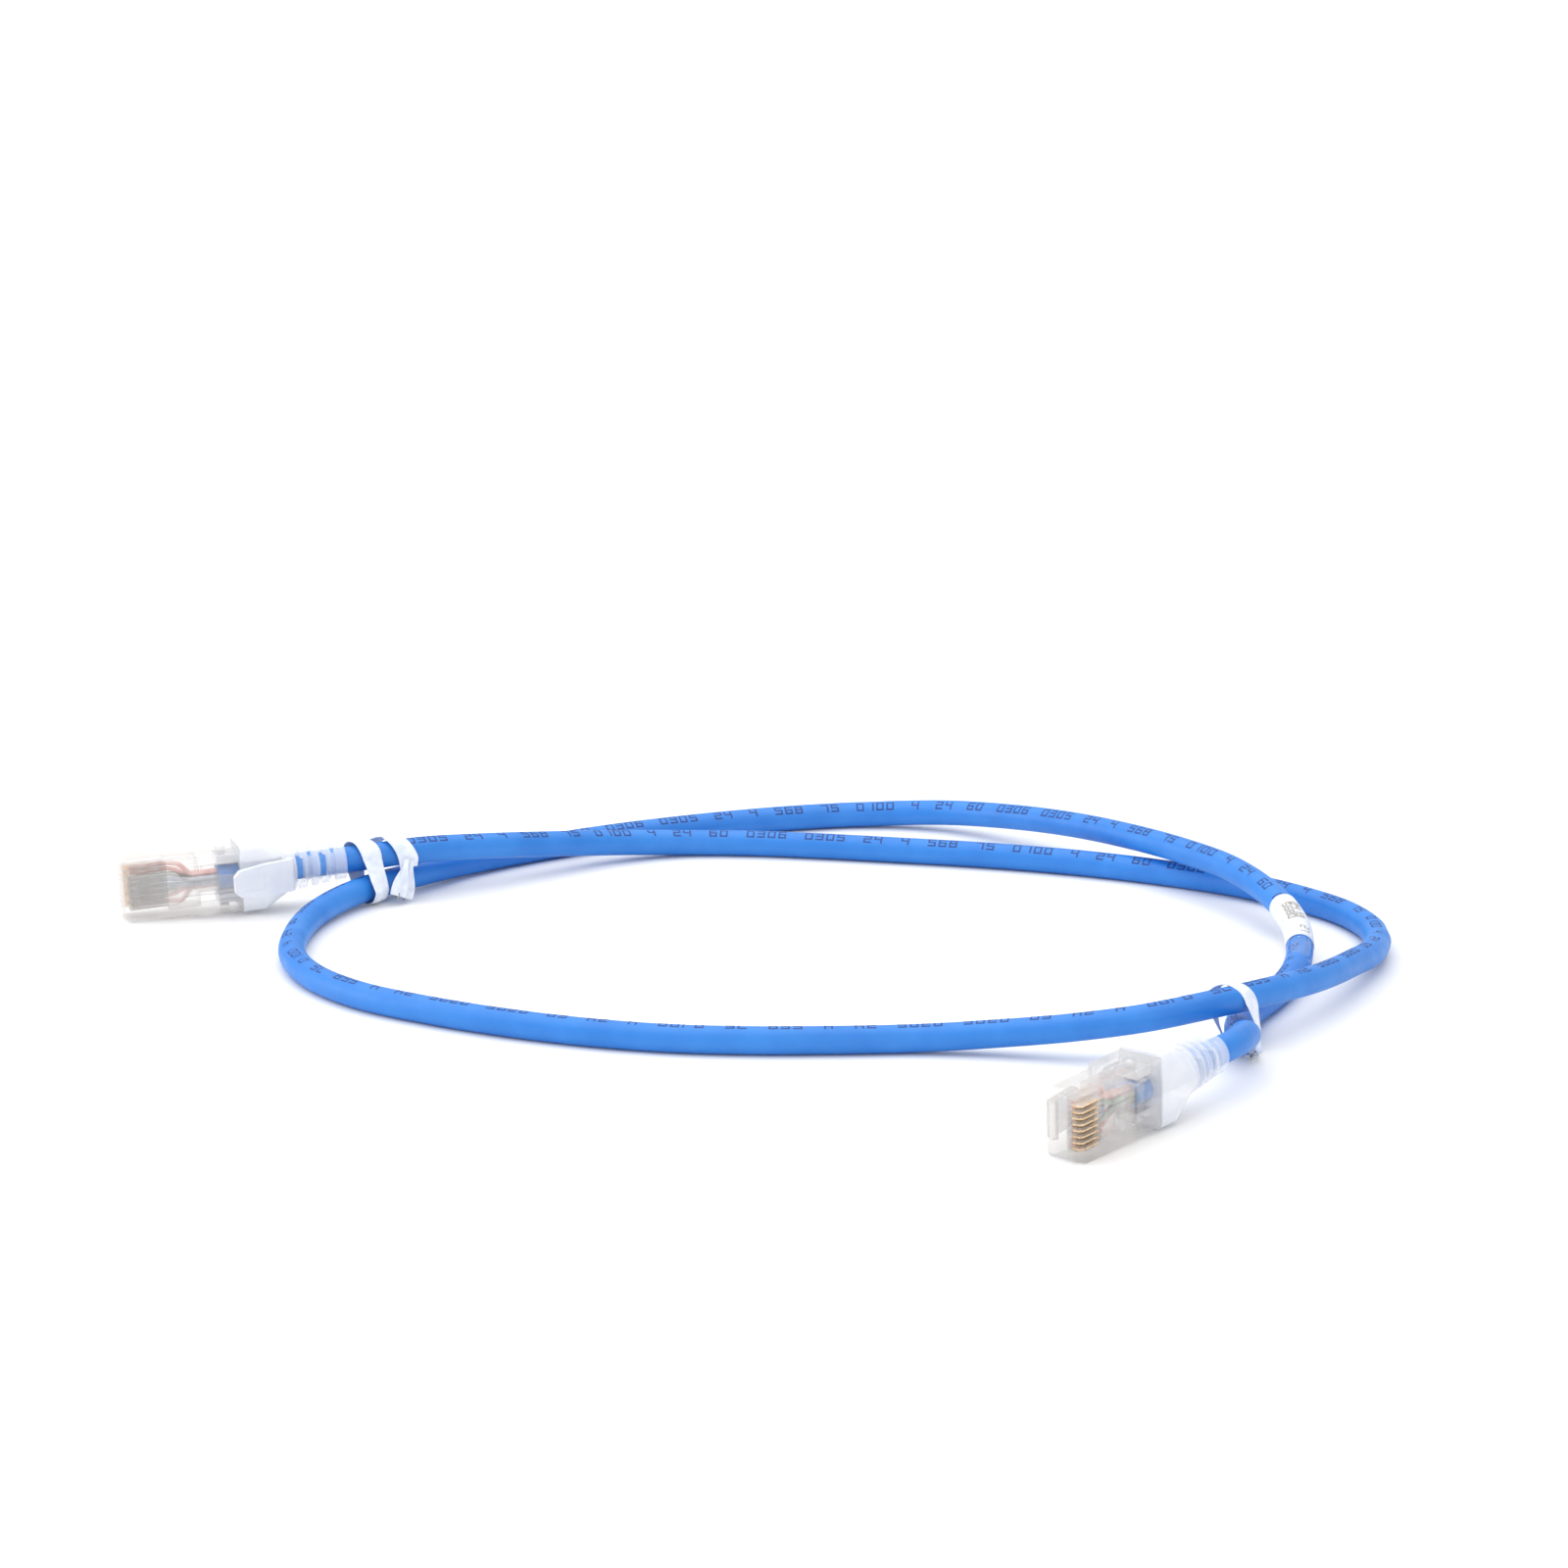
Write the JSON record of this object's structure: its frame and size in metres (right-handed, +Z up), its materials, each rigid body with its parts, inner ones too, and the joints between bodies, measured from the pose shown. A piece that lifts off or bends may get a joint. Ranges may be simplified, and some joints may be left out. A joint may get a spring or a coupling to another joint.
{
  "type": "ethernet patch cable",
  "caption": "Short twisted-pair patch cord laid in loops and held by two twist ties, with a clear modular plug and snag-guard boot at each end.",
  "frame": {"origin": "on the floor under the middle of the box round the two plugs", "axes": "+Z up from the floor, +X along the longer side of the laid cord, +Y away from the side that the press pad of plug A faces"},
  "size_m": [0.2297, 0.2081, 0.0134],
  "materials": {
    "jacket_blue": "satin PVC jacket",
    "polycarbonate": "clear moulded polycarbonate",
    "boot_pvc": "translucent soft PVC",
    "gold_plate": "gold plate over nickel",
    "copper": "bare copper",
    "insulation_orange": "polyethylene insulation",
    "insulation_green": "polyethylene insulation",
    "insulation_blue": "polyethylene insulation",
    "insulation_brown": "polyethylene insulation",
    "label_white": "printed vinyl",
    "label_clear": "clear over-laminate film",
    "tie_white": "white plastic ribbon",
    "tie_steel": "drawn steel wire"
  },
  "bodies": {
    "root": {"cable": "jacket_blue", "label_wrap": "label_white", "label_film": "label_clear", "tie_left": "tie_white", "tie_wire_left": "tie_steel", "tie_right": "tie_white", "tie_wire_right": "tie_steel", "housing_a": "polycarbonate", "contacts_a": "gold_plate", "load_bar_a": "polycarbonate", "wire_cores_a": "copper", "pair_orange_a": "insulation_orange", "pair_green_a": "insulation_green", "pair_blue_a": "insulation_blue", "pair_brown_a": "insulation_brown", "jacket_end_a": "jacket_blue", "boot_a": "boot_pvc", "housing_b": "polycarbonate", "contacts_b": "gold_plate", "load_bar_b": "polycarbonate", "wire_cores_b": "copper", "pair_orange_b": "insulation_orange", "pair_green_b": "insulation_green", "pair_blue_b": "insulation_blue", "pair_brown_b": "insulation_brown", "jacket_end_b": "jacket_blue", "boot_b": "boot_pvc"},
    "latch_a": {"latch_a": "polycarbonate"},
    "press_pad_a": {"press_pad_a": "boot_pvc"},
    "latch_b": {"latch_b": "polycarbonate"},
    "press_pad_b": {"press_pad_b": "boot_pvc"}
  },
  "joints": [
    {"name": "latch_press_a", "type": "hinge", "parent": "root", "child": "latch_a", "pos_m": [-0.09316, 0.06036, 0.00583], "axis": [-0.0495, -0.0156, 0.9987], "range_deg": [0, 5.5], "stiffness_Nm_per_rad": 0.05},
    {"name": "pad_press_a", "type": "hinge", "parent": "root", "child": "press_pad_a", "pos_m": [-0.06504, 0.06703, 0.00733], "axis": [-0.0495, -0.0156, 0.9987], "range_deg": [-10.5, 0], "stiffness_Nm_per_rad": 0.02},
    {"name": "latch_press_b", "type": "hinge", "parent": "root", "child": "latch_b", "pos_m": [0.06728, -0.07239, 0.00584], "axis": [0.0282, 0.0342, -0.999], "range_deg": [0, 5.5], "stiffness_Nm_per_rad": 0.05},
    {"name": "pad_press_b", "type": "hinge", "parent": "root", "child": "press_pad_b", "pos_m": [0.084, -0.04881, 0.00711], "axis": [0.0282, 0.0342, -0.999], "range_deg": [-10.5, 0], "stiffness_Nm_per_rad": 0.02}
  ],
  "couplings": [
    {"joint": "pad_press_a", "follows": "latch_press_a", "ratio": -1.9},
    {"joint": "pad_press_b", "follows": "latch_press_b", "ratio": -1.9}
  ]
}
